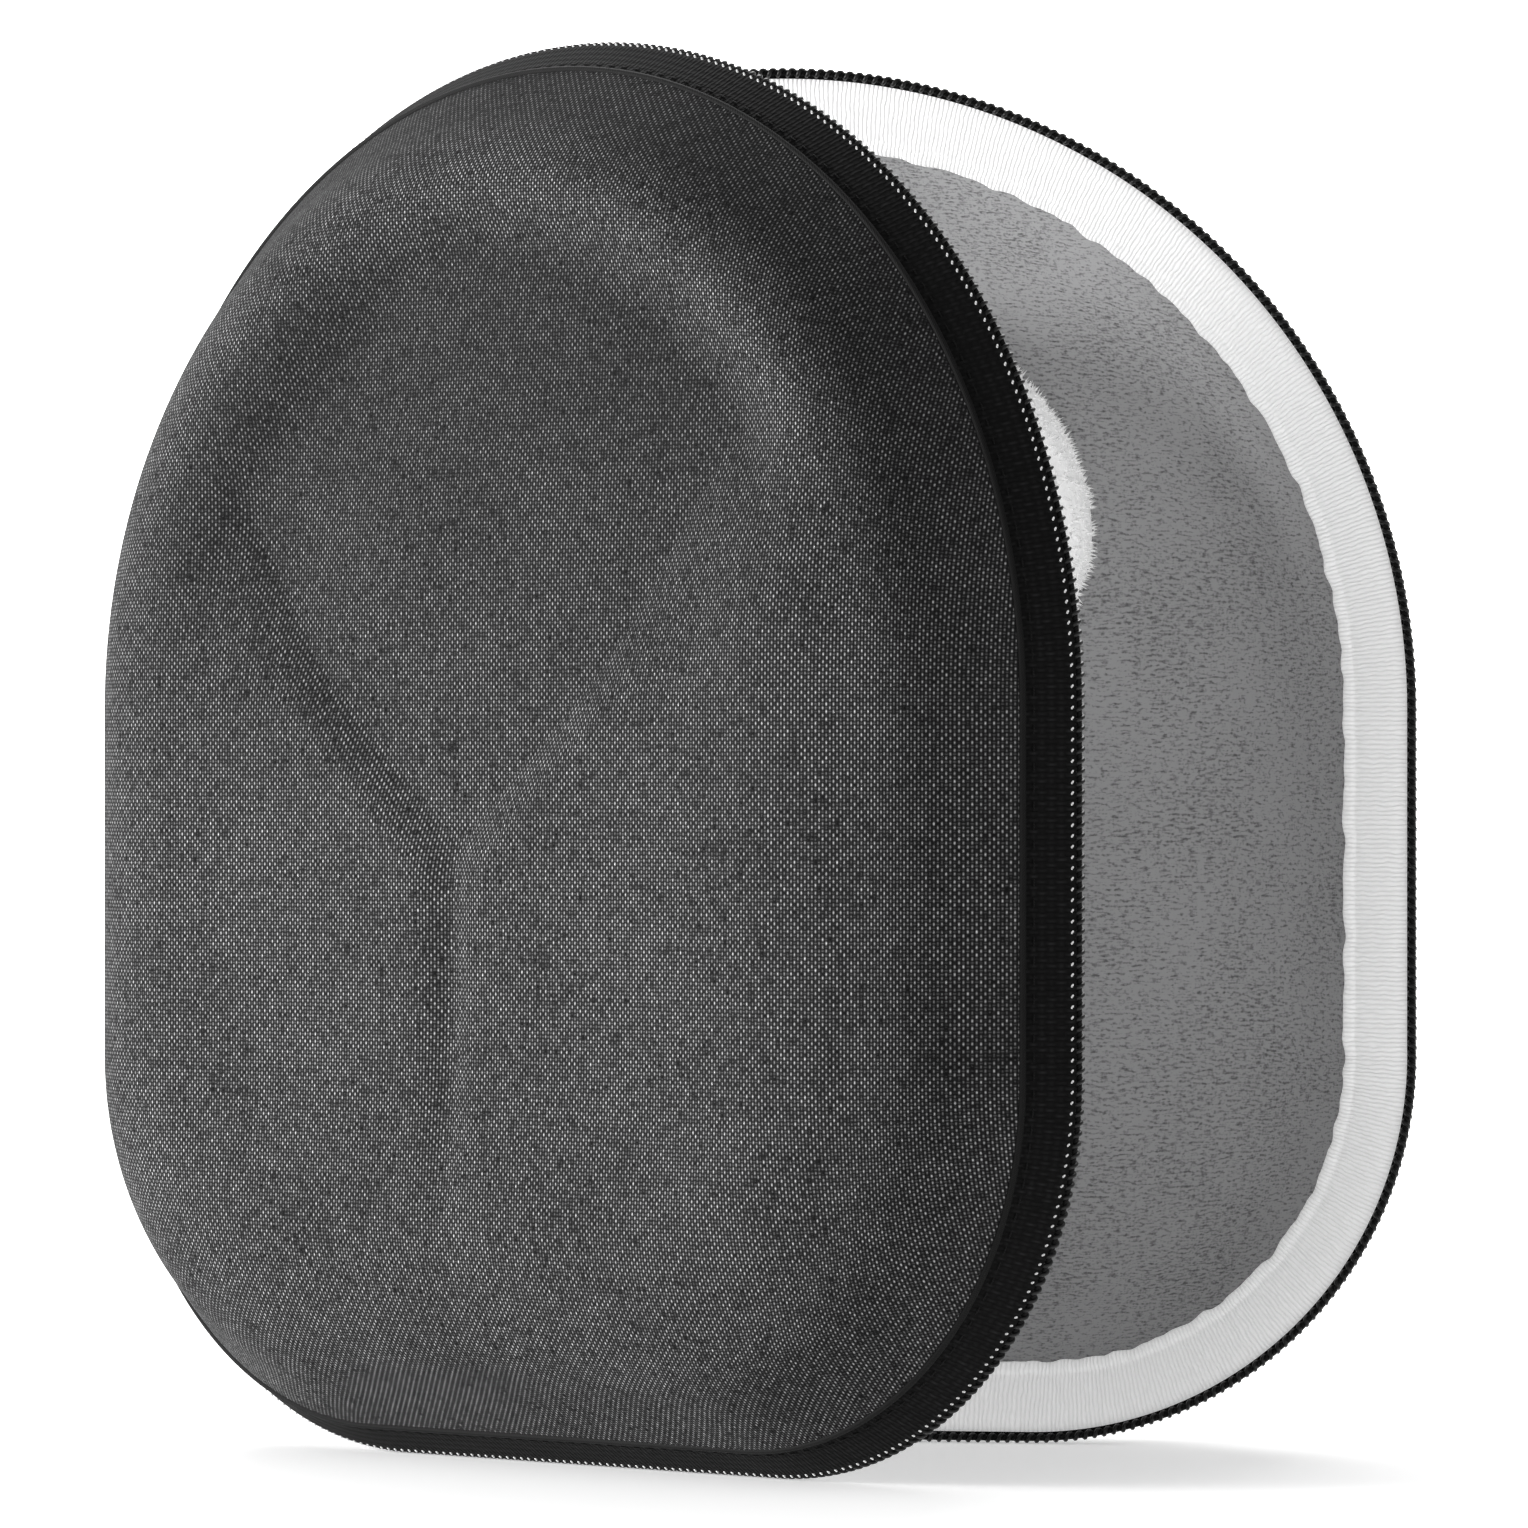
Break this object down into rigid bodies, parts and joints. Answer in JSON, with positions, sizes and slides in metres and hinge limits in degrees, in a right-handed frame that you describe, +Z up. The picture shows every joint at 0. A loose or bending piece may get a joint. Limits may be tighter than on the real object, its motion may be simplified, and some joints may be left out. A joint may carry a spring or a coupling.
{
  "type": "headphone carrying case",
  "caption": "Hard moulded zip-round carrying case for over-ear headphones, standing open like a book, with a cloth hinge, a white collar and a plush island inside.",
  "frame": {"origin": "middle of the flat run of the base's zip coil that the case stands on", "axes": "+Z up; +Y from the mouth of the base towards its flat back; +X to the right, away from the hinge"},
  "size_m": [0.2294, 0.1746, 0.24],
  "materials": {
    "shell_foam": "moulded closed-cell foam, matte",
    "heather_cover": "heather dark grey woven polyester",
    "knit_lining": "mottled light grey knit",
    "canvas_collar": "white ribbed canvas",
    "black_tape": "black herringbone tape",
    "nylon_coil": "black nylon coil, satin",
    "black_thread": "black sewing thread",
    "grey_thread": "grey sewing thread",
    "stop_metal": "blackened crimped metal",
    "island_foam": "soft open-cell foam",
    "white_plush": "white short-pile plush",
    "slider_enamel": "satin black enamel on die-cast metal",
    "pin_steel": "steel wire"
  },
  "bodies": {
    "base": {"base_shell": "shell_foam", "base_cover": "heather_cover", "base_lining": "knit_lining", "base_collar": "canvas_collar", "base_zip_tape": "black_tape", "base_zip_coil": "nylon_coil", "base_seam_thread": "black_thread", "base_coil_thread": "grey_thread", "base_hinge_cloth": "black_tape", "base_hinge_lining": "canvas_collar", "zip_stops": "stop_metal", "island_core": "island_foam", "island_cover": "white_plush"},
    "lid": {"lid_shell": "shell_foam", "lid_cover": "heather_cover", "lid_lining": "knit_lining", "lid_collar": "canvas_collar", "lid_zip_tape": "black_tape", "lid_zip_coil": "nylon_coil", "lid_seam_thread": "black_thread", "lid_coil_thread": "grey_thread", "lid_hinge_cloth": "black_tape", "lid_hinge_lining": "canvas_collar"},
    "upper_slider": {"upper_slider": "slider_enamel", "upper_slider_pin": "pin_steel"},
    "upper_pull": {"upper_pull": "slider_enamel"},
    "lower_slider": {"lower_slider": "slider_enamel", "lower_slider_pin": "pin_steel"},
    "lower_pull": {"lower_pull": "slider_enamel"}
  },
  "joints": [
    {"name": "lid_hinge", "type": "hinge", "parent": "base", "child": "lid", "pos_m": [-0.1123, -0.0017, 0.097], "axis": [0, 0, -1], "range_deg": [-34.4, 145.6]},
    {"name": "upper_zip", "type": "hinge", "parent": "base", "child": "upper_slider", "pos_m": [0, -0.0017, 0.1277], "axis": [0, 1, 0], "range_deg": [0, 170]},
    {"name": "lower_zip", "type": "hinge", "parent": "base", "child": "lower_slider", "pos_m": [-0.0446, -0.0017, 0.0677], "axis": [0, -1, 0], "range_deg": [0, 52]},
    {"name": "upper_pull_swing", "type": "hinge", "parent": "upper_slider", "child": "upper_pull", "pos_m": [-0.11526, -0.0017, 0.13778], "axis": [0, 1, 0], "range_deg": [0, 170]},
    {"name": "lower_pull_swing", "type": "hinge", "parent": "lower_slider", "child": "lower_pull", "pos_m": [-0.11501, -0.0017, 0.05781], "axis": [0, 1, 0], "range_deg": [0, 170]}
  ]
}
